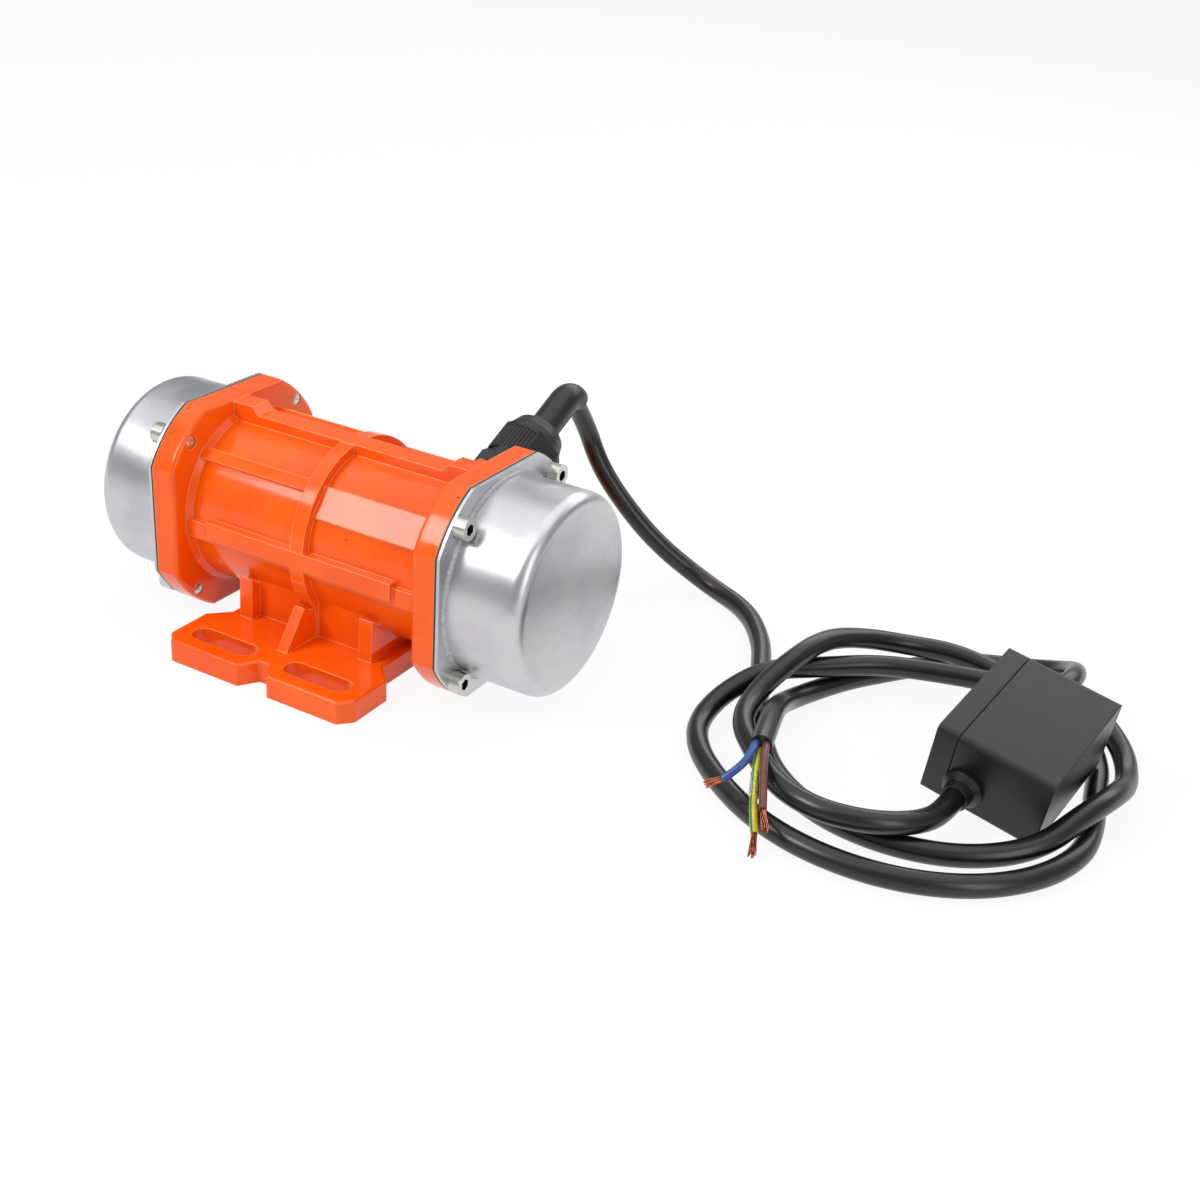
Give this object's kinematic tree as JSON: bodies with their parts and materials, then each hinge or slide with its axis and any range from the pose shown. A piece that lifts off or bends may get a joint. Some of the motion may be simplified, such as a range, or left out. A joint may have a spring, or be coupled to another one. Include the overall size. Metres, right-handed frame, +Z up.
{
  "type": "vibration motor",
  "caption": "Foot-mounted electric vibration motor with eccentric weights under end covers, a cable gland and a lead to a small inline capacitor box.",
  "frame": {"origin": "centre of the foot plate's underside, on the mounting surface", "axes": "+X along the motor shaft, +Y to the side of the cable gland, +Z up"},
  "size_m": [0.3997, 0.1897, 0.0897],
  "materials": {
    "cast_paint": "glossy orange paint over a casting",
    "badge_metal": "bare satin plate",
    "cover_steel": "satin brushed stainless sheet",
    "gasket_rubber": "dark green rubber edge",
    "screw_steel": "bright plated steel",
    "black_rubber": "satin black rubber",
    "black_plastic": "satin black moulded nylon",
    "cable_sheath": "satin black sheath",
    "box_plastic": "matte black moulded plastic",
    "capacitor_shell": "plain pale plastic can",
    "terminal_plastic": "pale moulded plastic",
    "blue_core": "glossy insulation",
    "brown_core": "glossy insulation",
    "earth_core": "glossy striped insulation",
    "copper": "bare twisted strands",
    "winding_copper": "varnished wire",
    "rotor_aluminium": "cast, dull",
    "core_steel": "dull laminated steel",
    "shield_aluminium": "machined casting",
    "machined_steel": "machined, oiled"
  },
  "bodies": {
    "motor": {"bearing_outer_left": "machined_steel", "bearing_outer_right": "machined_steel", "box_body": "box_plastic", "box_grommet_in": "black_rubber", "box_grommet_out": "black_rubber", "box_lid": "box_plastic", "box_screws": "screw_steel", "cable_sleeve": "black_rubber", "capacitor": "capacitor_shell", "copper_ends": "copper", "core_blue": "blue_core", "core_brown": "brown_core", "core_earth": "earth_core", "cover_cup_left": "cover_steel", "cover_cup_right": "cover_steel", "cover_plate_left": "cover_steel", "cover_plate_right": "cover_steel", "cover_screws_left": "screw_steel", "cover_screws_right": "screw_steel", "end_shield_left": "shield_aluminium", "end_shield_right": "shield_aluminium", "gasket_left": "gasket_rubber", "gasket_right": "gasket_rubber", "gland_body": "black_plastic", "gland_nut": "black_plastic", "gland_seal": "black_rubber", "housing": "cast_paint", "motor_lead": "cable_sheath", "nameplate": "badge_metal", "shield_screws_left": "screw_steel", "shield_screws_right": "screw_steel", "stator_core": "core_steel", "supply_lead": "cable_sheath", "terminal_block": "terminal_plastic", "weld_bead_left": "cover_steel", "weld_bead_right": "cover_steel", "winding_head_left": "winding_copper", "winding_head_right": "winding_copper"},
    "rotor": {"bearing_inner_left": "machined_steel", "bearing_inner_right": "machined_steel", "fixed_weight_left": "machined_steel", "fixed_weight_right": "machined_steel", "retaining_ring_left": "machined_steel", "retaining_ring_right": "machined_steel", "rotor_core": "core_steel", "rotor_ring_left": "rotor_aluminium", "rotor_ring_right": "rotor_aluminium", "shaft": "machined_steel", "weight_key_left": "machined_steel", "weight_key_right": "machined_steel"},
    "right_weight": {"movable_weight_right": "machined_steel", "clamp_bolt_right": "screw_steel"},
    "left_weight": {"movable_weight_left": "machined_steel", "clamp_bolt_left": "screw_steel"}
  },
  "joints": [
    {"name": "rotor_spin", "type": "hinge", "parent": "motor", "child": "rotor", "pos_m": [0, 0, 0.044], "axis": [1, 0, 0], "continuous": true},
    {"name": "right_weight_setting", "type": "hinge", "parent": "rotor", "child": "right_weight", "pos_m": [0.085, 0, 0.044], "axis": [1, 0, 0], "range_deg": [0, 180]},
    {"name": "left_weight_setting", "type": "hinge", "parent": "rotor", "child": "left_weight", "pos_m": [-0.085, 0, 0.044], "axis": [1, 0, 0], "range_deg": [0, 180]}
  ]
}
